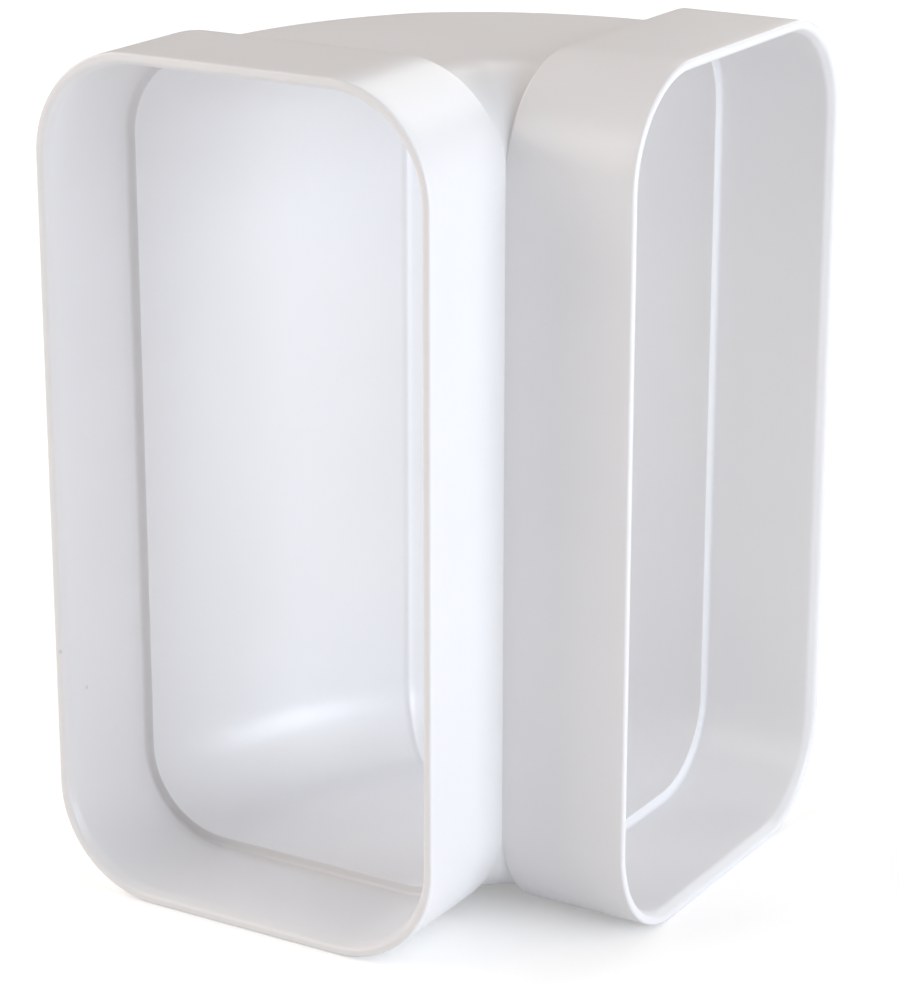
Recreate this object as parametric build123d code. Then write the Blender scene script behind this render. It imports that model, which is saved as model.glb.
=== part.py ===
"""Moulded 90 degree elbow for flat ventilation duct, turning about the long side of the rounded section.

One thin-walled moulding: a hollow quarter-round body with a duct socket at each end. The collars of the
sockets stand a step proud of the body all round, except at the inside corner, where the two collars and
the body run together. Inside, the step down to the body's bore is the shoulder that stops the duct.
"""

import os

from build123d import *

# Flat duct that the sockets take, outside sizes in millimetres
duct_width = 110.0
duct_height = 54.0
duct_corner_radius = 12.5
duct_wall = 1.3

# Sockets: clearance to the duct all round, tighter at the shoulder than at the mouth
root_clearance = 0.1
mouth_clearance = 0.3
socket_depth = 16.7
shoulder_wall = 1.6
collar_wall = 1.7

# Bevel inside each mouth that guides the duct in
lead_in_length = 1.2
lead_in_rise = 0.6

# Quarter-round body, and how far each collar runs on past the inside corner to fuse with it
body_wall = 1.2
corner_overlap = 0.7

# How far each outline stands outside the duct's own outline
bore_offset = -duct_wall
body_offset = bore_offset + body_wall
collar_offset = mouth_clearance + collar_wall
rim_offset = mouth_clearance + lead_in_rise

# The body's inner side stands off the bend's axis by the overlap, so that both collars bury it
body_reach = collar_offset - body_offset - corner_overlap

# Places along a leg, counted from the inside corner towards the mouth
collar_back = -corner_overlap
shoulder = collar_back + shoulder_wall
mouth = shoulder + socket_depth
lead_in_start = mouth - lead_in_length

# The bend's axis is the upright line where the outsides of the two collars meet
quarter_turn = 90.0
bend_radius = duct_height / 2 + collar_offset
mid_height = duct_width / 2 + collar_offset
bend_axis = Axis((0, 0, 0), (0, 0, -1))

# Each leg has its own frame, with local Z pointing out of the mouth and local Y upright
left_leg = Plane.XZ * Pos(-bend_radius, mid_height)
right_leg = Plane.YZ * Pos(bend_radius, mid_height)
legs = (left_leg, right_leg)


def outline(offset, reach=0.0):
    """Flat-duct outline standing the offset outside the duct, and further by reach towards local +X."""
    height = duct_height + 2 * offset + reach
    width = duct_width + 2 * offset
    return Pos(reach / 2, 0) * RectangleRounded(height, width, duct_corner_radius + offset)


def bend(offset, reach=0.0):
    """Quarter turn of the outline about the inside corner, from the left leg to the right leg."""
    return revolve(left_leg * outline(offset, reach), bend_axis, quarter_turn)


def run(leg, offset, start, end):
    """Straight run of the outline along a leg."""
    return extrude(leg * Pos(0, 0, start) * outline(offset), end - start)


def socket_space(leg):
    """Inside of a socket: drafted from the shoulder to the bevel, which opens to the rim."""
    stations = (
        (shoulder, root_clearance),
        (lead_in_start, mouth_clearance),
        (mouth, rim_offset),
    )
    return loft([leg * Pos(0, 0, place) * outline(offset) for place, offset in stations], ruled=True)


def elbow():
    """Outside of the body and collars, less the bent bore and the two sockets."""
    outside = bend(body_offset, body_reach)
    inside = bend(bore_offset)
    for leg in legs:
        outside += run(leg, collar_offset, collar_back, mouth)
        inside += run(leg, bore_offset, 0, shoulder)
        inside += socket_space(leg)
    return outside - inside


def to_stand(shape):
    """Move the shape so that the origin is the middle of its footprint, at floor level."""
    footprint = shape.bounding_box().center()
    return Pos(-footprint.X, -footprint.Y, 0) * shape


os.makedirs("parts", exist_ok=True)
export_step(to_stand(elbow()), "parts/duct_elbow.step")
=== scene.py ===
"""Dresses the moulded flat duct elbow and stands it in a plain studio.

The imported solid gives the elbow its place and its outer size. Over it goes one smooth moulding: the rounded
outline of the section, carried out over the left collar, round the bend and over the right collar, in at that
mouth, and back through the sockets and the airway to the left mouth, where it closes. Lengths are in metres.
"""

import math

import bmesh
import bpy
import numpy as np
from bpy.props import FloatProperty, FloatVectorProperty, IntProperty, PointerProperty, StringProperty
from mathutils import Matrix, Vector


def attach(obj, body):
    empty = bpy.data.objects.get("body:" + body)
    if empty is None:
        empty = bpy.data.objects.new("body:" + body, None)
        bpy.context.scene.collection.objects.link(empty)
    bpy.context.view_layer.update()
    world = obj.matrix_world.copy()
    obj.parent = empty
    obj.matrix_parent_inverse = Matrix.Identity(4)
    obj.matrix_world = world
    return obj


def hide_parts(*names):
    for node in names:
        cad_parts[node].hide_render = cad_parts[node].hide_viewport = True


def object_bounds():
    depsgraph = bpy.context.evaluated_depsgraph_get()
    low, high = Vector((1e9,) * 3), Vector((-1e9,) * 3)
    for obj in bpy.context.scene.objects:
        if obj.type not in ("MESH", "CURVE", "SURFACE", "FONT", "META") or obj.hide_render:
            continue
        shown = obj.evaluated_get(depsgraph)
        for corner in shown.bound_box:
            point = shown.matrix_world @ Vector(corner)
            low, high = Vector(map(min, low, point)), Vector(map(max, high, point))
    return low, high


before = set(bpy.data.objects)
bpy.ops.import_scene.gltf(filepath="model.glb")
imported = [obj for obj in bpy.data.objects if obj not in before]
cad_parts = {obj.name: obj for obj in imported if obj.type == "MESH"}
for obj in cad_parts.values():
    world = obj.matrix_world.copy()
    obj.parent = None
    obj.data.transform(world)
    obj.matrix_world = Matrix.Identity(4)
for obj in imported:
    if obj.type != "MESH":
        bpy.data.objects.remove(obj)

bl_info = {
    "name": "Flat duct elbow",
    "version": (1, 0, 0),
    "blender": (4, 5, 0),
    "location": "3D View > Sidebar > Duct elbow",
    "description": "Moulds the flat duct elbow over its packed solid and lights it in a plain studio",
    "category": "Object",
}

MM = 0.001
CAD_LOW, CAD_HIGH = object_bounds()
CAD_SIZE = CAD_HIGH - CAD_LOW
NODE = "duct_elbow"
BODY = "root"
# Grid points closer than this are one, and edges sharper than this are not smoothed.
MERGE_DISTANCE = 0.001 * MM
SHARP_ANGLE = math.radians(40.0)
# Noise mostly keeps between these values, out of 0 to 1; the slow waves have only one finer layer of it.
NOISE_LOW = 0.3
NOISE_HIGH = 0.7
WAVE_DETAIL = 1.0
# The floor lies this far below the feet, so that no two faces coincide.
FLOOR_GAP = 0.05 * MM
# Side of the camera's sensor, in millimetres, along the picture's long side, and where its view begins.
SENSOR_SIDE = 36.0
VIEW_START = 10 * MM
# Soft boxes round the elbow: name, azimuth and elevation in degrees.
LAMPS = (
    ("key", 90, 5),
    ("near", 75, 8),
    ("high", 90, 45),
    ("left", -90, 25),
    ("fill", -45, 25),
    ("back", 180, 30),
)


def length(name, description, millimetres):
    """A length property whose default is given in millimetres."""
    return FloatProperty(name=name, description=description, default=millimetres * MM, min=0.0, unit="LENGTH")


def count(name, description, faces):
    """A number of faces."""
    return IntProperty(name=name, description=description, default=faces, min=1)


def ratio(name, description, value):
    """A plain number without a unit."""
    return FloatProperty(name=name, description=description, default=value, min=0.0)


def angle(name, description, degrees):
    """An angle property whose default is given in degrees."""
    return FloatProperty(name=name, description=description, default=math.radians(degrees), unit="ROTATION")


def colour(name, description, code):
    """A colour property that holds an sRGB hex code."""
    return StringProperty(name=name, description=description, default=code, maxlen=7)


def power(name, description, watts):
    """A lamp's power in watts."""
    return FloatProperty(name=name, description=description, default=watts, min=0.0, unit="POWER")


def place(name, description, point):
    """A place in the elbow's frame."""
    return FloatVectorProperty(name=name, description=description, default=point, subtype="TRANSLATION")


class ElbowSizes(bpy.types.PropertyGroup):
    """Sizes of the moulding. Insets are measured inwards from the outside of the collars."""

    collar_height: FloatProperty(
        name="Collar height", description="Long side of a collar, from the packed solid",
        default=CAD_SIZE.z, min=0.0, unit="LENGTH")
    footprint: FloatProperty(
        name="Footprint", description="Side of the elbow's square plan, from the packed solid",
        default=CAD_SIZE.x, min=0.0, unit="LENGTH")
    collar_depth: length("Collar depth", "Short side of a collar, outside", 58.0)
    corner_radius: length("Corner radius", "Outside radius of a collar's corners", 14.5)
    body_inset: length("Body inset", "How far the body lies below the collars, next to them", 2.1)
    body_swell: length("Body swell", "How much further the body stands out in the middle of the bend", 0.5)
    rim_inset: length("Rim inset", "Width of the flat rim round a mouth", 1.1)
    mouth_inset: length("Mouth inset", "Wall of a socket just behind the bevel of its mouth", 1.7)
    root_inset: length("Root inset", "Wall of a socket at its root", 1.9)
    bore_inset: length("Bore inset", "How far the airway lies below the outside of the collars", 3.3)
    bevel_length: length("Bevel length", "Length of the bevel inside a mouth", 1.2)
    shoulder_run: length("Shoulder run", "From the inside corner's plane to the shoulder", 0.9)
    back_round: length("Back edge round", "Radius of the edge at the back of a collar", 0.45)
    rim_round: length("Rim edge round", "Radius of the rim's outer edge", 0.35)
    lip_round: length("Lip round", "Radius where the rim turns into the bevel", 0.7)
    bevel_round: length("Bevel round", "Radius where the bevel runs out into the socket", 1.5)
    root_round: length("Root fillet", "Radius of the fillet between socket and shoulder", 0.5)
    shoulder_round: length("Shoulder edge round", "Radius of the edge between shoulder and airway", 0.15)
    core_taper: length("Core taper", "How far each side of the airway draws in by the bend's middle", 2.0)
    ridge_height: length("Ridge height", "Height of the fine ridge where the two cores of the mould met", 0.1)
    ridge_width: length("Ridge width", "From the ridge's middle to where its height is about a third", 0.5)
    corner_steps: count("Corner steps", "Faces round each corner of the section", 20)
    side_steps: count("Side steps", "Faces along each side of the section", 13)
    bend_steps: count("Bend steps", "Faces round the bend", 48)
    edge_steps: count("Edge steps", "Faces round each edge of a collar", 6)
    span_steps: count("Span steps", "Faces between two edges of a collar", 5)
    ridge_steps: count("Ridge steps", "Faces across the ridge", 16)


class PlasticFinish(bpy.types.PropertyGroup):
    """Colours and grain of the white plastic."""

    white: colour("White", "Colour of the moulding", "#EFEFF1")
    cloud: colour("Cloud", "Slightly greyer white where the melt cooled last", "#E9E9EC")
    speck: colour("Speck", "Colour of a speck of dust", "#6E655C")
    speck_size: length("Speck size", "Width of a speck of dust", 0.75)
    speck_cover: ratio("Speck cover", "How much a speck hides the white", 0.3)
    rim_speck: place("Rim speck", "Speck on the left rim", CAD_LOW + Vector((0.9, 0.0, 33.1)) * MM)
    wall_speck: place("Wall speck", "Speck inside the left socket", CAD_LOW + Vector((1.74, 4.3, 26.8)) * MM)
    roughness: ratio("Roughness", "Roughness of the satin mould finish", 0.33)
    roughness_spread: ratio("Roughness spread", "How much the finish varies", 0.04)
    refraction: ratio("Refractive index", "Refractive index of the plastic", 1.54)
    cloud_size: length("Cloud size", "Size of the faint clouds in the colour", 28.0)
    wave_size: length("Wave size", "Size of the slow waves in the thin walls", 22.0)
    wave_height: length("Wave height", "Height of the slow waves in the thin walls", 0.05)
    grain_size: length("Grain size", "Pitch of the fine texture of the mould", 0.35)
    grain_height: length("Grain height", "Height of the fine texture of the mould", 0.002)


class StudioSettings(bpy.types.PropertyGroup):
    """Camera, lamps and floor."""

    azimuth: angle("Azimuth", "Camera's turn round the elbow", 31.11)
    elevation: angle("Elevation", "Camera's height above the horizon", 18.56)
    distance: length("Distance", "From the camera to the point that it looks at", 435.9)
    aim: place("Aim", "Point that the camera looks at", (4.52 * MM, -7.24 * MM, 52.57 * MM))
    focal: FloatProperty(
        name="Focal length", description="Camera's lens, in millimetres", default=119.8, unit="CAMERA")
    lamp_distance: length("Lamp distance", "From the lamps to the elbow", 1000.0)
    lamp_size: length("Lamp size", "Side of each square soft box", 700.0)
    key_power: power("Key power", "Low daylight from the right", 6.9)
    key_colour: colour("Key colour", "Low daylight from the right", "#ECF5FF")
    near_power: power("Near power", "Daylight from the right front", 2.4)
    near_colour: colour("Near colour", "Daylight from the right front", "#EAF5FF")
    high_power: power("High power", "Light from high on the right", 1.5)
    high_colour: colour("High colour", "Light from high on the right", "#FEFFFC")
    left_power: power("Left power", "Warm light from the left", 4.0)
    left_colour: colour("Left colour", "Warm light from the left", "#FFF8F5")
    fill_power: power("Fill power", "Warm light from the left front", 4.2)
    fill_colour: colour("Fill colour", "Warm light from the left front", "#FFFAF4")
    back_power: power("Back power", "Light from behind", 3.3)
    back_colour: colour("Back colour", "Light from behind", "#FFFFFD")
    room_strength: ratio("Room strength", "Light from all round", 0.26)
    room_colour: colour("Room colour", "Warm light from all round", "#FFF2E8")
    floor_colour: colour("Floor colour", "Pale floor", "#F4F4F4")
    floor_lift: ratio("Floor lift", "Light that lifts the floor towards white in the picture", 0.3)
    floor_side: length("Floor side", "Side of the square floor", 12000.0)


def linear(code):
    """Turns an sRGB hex code into a linear colour, by the sRGB standard's curve, with an alpha of 1."""
    srgb = np.array([int(code[i:i + 2], 16) for i in (1, 3, 5)]) / 255.0
    light = np.where(srgb <= 0.04045, srgb / 12.92, ((srgb + 0.055) / 1.055) ** 2.4)
    return (*light.tolist(), 1.0)


def add(tree, kind, inputs=None, **settings):
    """Adds a node with its settings. Each input is given a value, or a link from another node's output."""
    made = tree.nodes.new(kind)
    for name, value in settings.items():
        setattr(made, name, value)
    for name, value in (inputs or {}).items():
        if isinstance(value, bpy.types.NodeSocket):
            tree.links.new(value, made.inputs[name])
        else:
            made.inputs[name].default_value = value
    return made


def eased(steps):
    """Fractions strictly between 0 and 1, close together near both ends: half of one less the cosine."""
    return (1 - np.cos(np.linspace(0, np.pi, steps + 1)[1:-1])) / 2


def section_outline(sizes):
    """Outline of the section as points of a core rectangle and outward normals.

    A rounded rectangle is a core rectangle grown by the corner radius. Round a corner the core point stays
    and the normal turns a quarter; along a side the normal stays and the core point runs to the next corner.
    Core points are fractions of the core's two sides, so one outline serves every inset.
    """
    corners = np.array([(1, 1), (0, 1), (0, 0), (1, 0)], float)[:, None]
    following = np.roll(corners, -1, axis=0)
    quarter = np.arange(4)[:, None]
    along = eased(sizes.side_steps)
    round_turn = quarter + np.linspace(0, 1, sizes.corner_steps + 1)
    side_turn = np.repeat(quarter + 1, len(along), axis=1)
    turn = np.hstack([round_turn, side_turn]).ravel() * np.pi / 2
    round_core = np.repeat(corners, sizes.corner_steps + 1, axis=1)
    side_core = corners + (following - corners) * along[:, None]
    core = np.hstack([round_core, side_core]).reshape(-1, 2)
    return core, np.stack([np.cos(turn), np.sin(turn)], axis=1)


def collar_profile(sizes):
    """Section through a collar's wall, from the body's outside to the airway, as (run, inset, draw) rows.

    Corner points are joined by straight spans, and each corner is rounded by an arc that touches both its
    spans: its centre lies on the bisector, at the radius divided by the sine of half the angle. Along the arc
    its first and last radius are blended, by the sines of the angles left and gone over that of the sweep. On
    the outside the inner side of the section is drawn out to the inside corner by as much as it is inset, so
    that body and collars share one flat wall there; inside the mouth nothing is drawn.
    """
    mouth_run = sizes.footprint - sizes.collar_depth
    points = np.array([
        (0.0, sizes.body_inset),
        (0.0, 0.0),
        (mouth_run, 0.0),
        (mouth_run, sizes.rim_inset),
        (mouth_run - sizes.bevel_length, sizes.mouth_inset),
        (sizes.shoulder_run, sizes.root_inset),
        (sizes.shoulder_run, sizes.bore_inset),
        (0.0, sizes.bore_inset),
    ])
    radius = np.array([
        sizes.back_round,
        sizes.rim_round,
        sizes.lip_round,
        sizes.bevel_round,
        sizes.root_round,
        sizes.shoulder_round,
    ])[:, None]
    corner = points[1:-1]
    towards = [points[:-2] - corner, points[2:] - corner]
    before, after = [way / np.linalg.norm(way, axis=1, keepdims=True) for way in towards]
    half = np.arccos(np.sum(before * after, axis=1, keepdims=True)) / 2
    bisector = (before + after) / np.linalg.norm(before + after, axis=1, keepdims=True)
    centre = corner + bisector * radius / np.sin(half)
    touch = radius / np.tan(half)
    first, last = [corner + way * touch - centre for way in (before, after)]
    sweep = (np.pi - 2 * half)[:, None]
    share = np.linspace(0, 1, sizes.edge_steps + 1)[:, None]
    blend = np.sin((1 - share) * sweep) * first[:, None] + np.sin(share * sweep) * last[:, None]
    arcs = centre[:, None] + blend / np.sin(sweep)
    gap = arcs[1:, :1] - arcs[:-1, -1:]
    spans = arcs[:-1, -1:] + gap * eased(sizes.span_steps)[:, None]
    middle = np.hstack([arcs[:-1], spans]).reshape(-1, 2)
    profile = np.vstack([points[:1], middle, arcs[-1], points[-1:]])
    outside = np.arange(len(profile)) <= 1 + sizes.edge_steps
    return np.column_stack([profile, np.where(outside, profile[:, 1], 0.0)])


def airway_stations(sizes):
    """Shares of the airway's quarter turn, strictly inside it, and the inset at each.

    The two cores of the mould met halfway round the bend. Each narrows towards that middle, so the inset
    grows evenly with the turn up to the taper. A fine ridge stands where they met: its height falls off from
    the middle as the exponential of minus the square of the distance along the outer wall over the ridge's
    width. The stations are close together across the ridge, out to twice its width.
    """
    outer_wall = (sizes.collar_depth - sizes.bore_inset) * np.pi / 2
    halfway = 0.5
    reach = 2 * sizes.ridge_width / outer_wall
    even = np.linspace(0, 1, sizes.bend_steps + 1)[1:-1]
    across = halfway + np.linspace(-reach, reach, sizes.ridge_steps + 1)
    share = np.sort(np.concatenate([even[np.abs(even - halfway) > reach], across]))
    distance = np.abs(share - halfway) * outer_wall
    taper = sizes.core_taper * (1 - 2 * distance / outer_wall)
    ridge = sizes.ridge_height * np.exp(-(distance / sizes.ridge_width) ** 2)
    return share, sizes.bore_inset + taper + ridge


def moulding_stations(sizes):
    """Closed chain of stations, each a row of turn round the bend, run past it, inset and draw.

    The chain is the left collar's profile from the airway out to the body, the body's quarter turn, the
    right collar's profile from the body in to the airway, and the airway's quarter turn back. The body's
    inset falls evenly with the turn, by the swell, up to the middle of the bend.
    """
    profile = collar_profile(sizes)
    quarter = np.pi / 2
    left = np.column_stack([np.zeros(len(profile)), profile * (-1, 1, 1)])[::-1]
    right = np.column_stack([np.full(len(profile), quarter), profile])
    share = np.linspace(0, 1, sizes.bend_steps + 1)[1:-1]
    inset = sizes.body_inset - sizes.body_swell * (1 - np.abs(2 * share - 1))
    body = np.column_stack([quarter * share, np.zeros(len(share)), inset, inset])
    share, inset = airway_stations(sizes)
    level = np.zeros(len(share))
    airway = np.column_stack([quarter * (1 - share), level, inset, level])
    return np.vstack([left, body, right, airway])


def moulding_surface(sizes):
    """Points of the moulding on a grid of stations by outline points.

    At each station an outline point lies at its core point plus the corner radius less the inset, along its
    normal, and the draw moves the core's inner side towards the bend's axis. The point's distance from that
    axis is then turned about it by the station's turn, and the station's run is added along the tangent.
    """
    core, normal = section_outline(sizes)
    turn, run, inset, draw = moulding_stations(sizes).T[:, :, None]
    radius = sizes.corner_radius - inset
    core_depth = sizes.collar_depth - 2 * sizes.corner_radius
    core_height = sizes.collar_height - 2 * sizes.corner_radius
    out = sizes.corner_radius - draw + core[:, 0] * (core_depth + draw) + radius * normal[:, 0]
    up = sizes.corner_radius + core[:, 1] * core_height + radius * normal[:, 1]
    axis_x = CAD_LOW.x + sizes.collar_depth
    axis_y = CAD_HIGH.y - sizes.collar_depth
    x = axis_x - out * np.cos(turn) + run * np.sin(turn)
    y = axis_y + out * np.sin(turn) + run * np.cos(turn)
    return np.stack([x, y, CAD_LOW.z + up], axis=-1)


def grid_mesh(name, points):
    """A mesh of quads over a grid of points that closes on itself both ways, with double points merged."""
    rows, columns = points.shape[:2]
    index = np.arange(rows * columns).reshape(rows, columns)
    beside = np.roll(index, -1, axis=1)
    quads = np.stack([index, beside, np.roll(beside, -1, axis=0), np.roll(index, -1, axis=0)], axis=-1)
    mesh = bpy.data.meshes.new(name)
    mesh.from_pydata(points.reshape(-1, 3).tolist(), [], quads.reshape(-1, 4).tolist())
    work = bmesh.new()
    work.from_mesh(mesh)
    bmesh.ops.remove_doubles(work, verts=work.verts, dist=MERGE_DISTANCE)
    work.to_mesh(mesh)
    work.free()
    mesh.shade_smooth()
    mesh.set_sharp_from_angle(angle=SHARP_ANGLE)
    return mesh


def moulded_white_abs(finish):
    """Injection-moulded white ABS, straight from a satin mould.

    To the eye it is a clean, faintly cool white with a soft satin gloss. The thin walls wave a little, so
    broad highlights waver; the gloss varies slowly; and two specks of dust sit on the left socket. The
    mould's real grain is too fine to show, so it is drawn coarser.
    """
    material = bpy.data.materials.new("moulded_white_abs")
    material.use_nodes = True
    tree = material.node_tree
    tree.nodes.clear()
    here = add(tree, "ShaderNodeTexCoord").outputs["Object"]
    clouds = add(tree, "ShaderNodeTexNoise", {"Vector": here, "Scale": 1 / finish.cloud_size})
    waves = add(tree, "ShaderNodeTexNoise", {
        "Vector": here,
        "Scale": 1 / finish.wave_size,
        "Detail": WAVE_DETAIL,
    })
    grain = add(tree, "ShaderNodeTexNoise", {"Vector": here, "Scale": 1 / finish.grain_size})
    tone = add(tree, "ShaderNodeMix", {
        "Factor": clouds.outputs["Fac"],
        "A": linear(finish.white),
        "B": linear(finish.cloud),
    }, data_type="RGBA")
    for spot in (finish.rim_speck, finish.wall_speck):
        away = add(tree, "ShaderNodeVectorMath", {0: here, 1: spot}, operation="DISTANCE")
        cover = add(tree, "ShaderNodeMapRange", {
            "Value": away.outputs["Value"],
            "From Max": finish.speck_size / 2,
            "To Min": finish.speck_cover,
            "To Max": 0.0,
        })
        tone = add(tree, "ShaderNodeMix", {
            "Factor": cover.outputs["Result"],
            "A": tone.outputs["Result"],
            "B": linear(finish.speck),
        }, data_type="RGBA")
    gloss = add(tree, "ShaderNodeMapRange", {
        "Value": clouds.outputs["Fac"],
        "From Min": NOISE_LOW,
        "From Max": NOISE_HIGH,
        "To Min": finish.roughness - finish.roughness_spread,
        "To Max": finish.roughness + finish.roughness_spread,
    })
    wavy = add(tree, "ShaderNodeBump", {"Height": waves.outputs["Fac"], "Distance": finish.wave_height})
    grainy = add(tree, "ShaderNodeBump", {
        "Height": grain.outputs["Fac"],
        "Distance": finish.grain_height,
        "Normal": wavy.outputs["Normal"],
    })
    shader = add(tree, "ShaderNodeBsdfPrincipled", {
        "Base Color": tone.outputs["Result"],
        "Roughness": gloss.outputs["Result"],
        "IOR": finish.refraction,
        "Normal": grainy.outputs["Normal"],
    })
    add(tree, "ShaderNodeOutputMaterial", {"Surface": shader.outputs["BSDF"]})
    return material


def matt_white_board(studio):
    """Matt white painted board. The camera sees it lifted towards white, with the elbow's shadow kept."""
    material = bpy.data.materials.new("matt_white_board")
    material.use_nodes = True
    tree = material.node_tree
    tree.nodes.clear()
    rays = add(tree, "ShaderNodeLightPath").outputs
    seen = rays["Is Camera Ray"]
    for ray in ("Is Glossy Ray", "Is Transmission Ray"):
        seen = add(tree, "ShaderNodeMath", {0: seen, 1: rays[ray]}, operation="MAXIMUM").outputs[0]
    lift = add(tree, "ShaderNodeMath", {0: seen, 1: studio.floor_lift}, operation="MULTIPLY")
    board = add(tree, "ShaderNodeBsdfDiffuse", {"Color": linear(studio.floor_colour)})
    glow = add(tree, "ShaderNodeEmission", {"Strength": lift.outputs[0]})
    both = add(tree, "ShaderNodeAddShader", {0: board.outputs[0], 1: glow.outputs[0]})
    add(tree, "ShaderNodeOutputMaterial", {"Surface": both.outputs[0]})
    return material


def white_room(studio):
    """Even light from all round, which the camera sees as plain white."""
    world = bpy.data.worlds.new("white_room")
    world.use_nodes = True
    tree = world.node_tree
    tree.nodes.clear()
    rays = add(tree, "ShaderNodeLightPath").outputs
    light = add(tree, "ShaderNodeBackground", {
        "Color": linear(studio.room_colour),
        "Strength": studio.room_strength,
    })
    white = add(tree, "ShaderNodeBackground", {"Color": linear("#FFFFFF"), "Strength": 1.0})
    shown = add(tree, "ShaderNodeMixShader", {
        0: rays["Is Camera Ray"],
        1: light.outputs[0],
        2: white.outputs[0],
    })
    add(tree, "ShaderNodeOutputWorld", {"Surface": shown.outputs[0]})
    return world


def stand(thing, target, azimuth, elevation, distance):
    """Stands a lamp or camera on a sphere round a target, facing it. Azimuth 0 is at -Y and 90 at +X."""
    level = math.cos(elevation)
    back = Vector((math.sin(azimuth) * level, -math.cos(azimuth) * level, math.sin(elevation)))
    turn = (-back).to_track_quat("-Z", "Y").to_matrix().to_4x4()
    thing.matrix_world = Matrix.Translation(target + back * distance) @ turn
    bpy.context.scene.collection.objects.link(thing)


def place_lamp(studio, name, azimuth, elevation):
    """A square soft box that the camera doesn't see."""
    data = bpy.data.lights.new(name, "AREA")
    data.size = studio.lamp_size
    data.energy = getattr(studio, name + "_power")
    data.color = linear(getattr(studio, name + "_colour"))[:3]
    lamp = bpy.data.objects.new(name, data)
    lamp.visible_camera = False
    middle = (CAD_LOW + CAD_HIGH) / 2
    stand(lamp, middle, math.radians(azimuth), math.radians(elevation), studio.lamp_distance)


def place_camera(studio):
    """Camera at the photograph's azimuth and elevation."""
    data = bpy.data.cameras.new("portrait")
    data.sensor_width = SENSOR_SIDE
    data.lens = studio.focal
    data.clip_start = VIEW_START
    camera = bpy.data.objects.new("portrait", data)
    stand(camera, Vector(studio.aim), studio.azimuth, studio.elevation, studio.distance)
    bpy.context.scene.camera = camera


class DUCT_OT_mould_elbow(bpy.types.Operator):
    """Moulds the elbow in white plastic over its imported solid"""

    bl_idname = "duct.mould_elbow"
    bl_label = "Mould the elbow"

    def execute(self, context):
        sizes = context.scene.elbow_sizes
        mesh = grid_mesh("moulded_elbow", moulding_surface(sizes))
        mesh.materials.append(moulded_white_abs(context.scene.plastic_finish))
        piece = bpy.data.objects.new("moulded_elbow", mesh)
        context.scene.collection.objects.link(piece)
        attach(piece, BODY)
        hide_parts(NODE)
        return {"FINISHED"}


class DUCT_OT_set_studio(bpy.types.Operator):
    """Lays the pale floor, hangs the lamps and stands the camera"""

    bl_idname = "duct.set_studio"
    bl_label = "Set the studio"

    def execute(self, context):
        studio = context.scene.studio_settings
        side = studio.floor_side / 2
        corners = np.array([(-1, -1), (1, -1), (1, 1), (-1, 1)]) * side
        depth = CAD_LOW.z - FLOOR_GAP
        mesh = bpy.data.meshes.new("floor")
        mesh.from_pydata([(x, y, depth) for x, y in corners], [], [(0, 1, 2, 3)])
        mesh.materials.append(matt_white_board(studio))
        floor = bpy.data.objects.new("floor", mesh)
        context.scene.collection.objects.link(floor)
        for name, azimuth, elevation in LAMPS:
            place_lamp(studio, name, azimuth, elevation)
        context.scene.world = white_room(studio)
        context.scene.view_settings.view_transform = "Standard"
        place_camera(studio)
        return {"FINISHED"}


class DUCT_PT_elbow(bpy.types.Panel):
    """Sidebar panel that lists the elbow's operators and settings"""

    bl_idname = "DUCT_PT_elbow"
    bl_label = "Flat duct elbow"
    bl_space_type = "VIEW_3D"
    bl_region_type = "UI"
    bl_category = "Duct elbow"

    def draw(self, context):
        scene = context.scene
        for operator, settings in ((DUCT_OT_mould_elbow, (scene.elbow_sizes, scene.plastic_finish)),
                                   (DUCT_OT_set_studio, (scene.studio_settings,))):
            self.layout.operator(operator.bl_idname)
            for group in settings:
                for name in group.bl_rna.properties.keys():
                    if name in group.__annotations__:
                        self.layout.prop(group, name)


CLASSES = (ElbowSizes, PlasticFinish, StudioSettings, DUCT_OT_mould_elbow, DUCT_OT_set_studio, DUCT_PT_elbow)


def register():
    """Makes the classes known and hangs the settings on the scene."""
    for entry in CLASSES:
        bpy.utils.register_class(entry)
    bpy.types.Scene.elbow_sizes = PointerProperty(type=ElbowSizes)
    bpy.types.Scene.plastic_finish = PointerProperty(type=PlasticFinish)
    bpy.types.Scene.studio_settings = PointerProperty(type=StudioSettings)


def unregister():
    """Takes back what register did, in reverse."""
    del bpy.types.Scene.studio_settings
    del bpy.types.Scene.plastic_finish
    del bpy.types.Scene.elbow_sizes
    for entry in reversed(CLASSES):
        bpy.utils.unregister_class(entry)


def main():
    """Registers the classes and makes the pieces in order."""
    register()
    bpy.ops.duct.mould_elbow()
    bpy.ops.duct.set_studio()


if __name__ == "__main__":
    main()
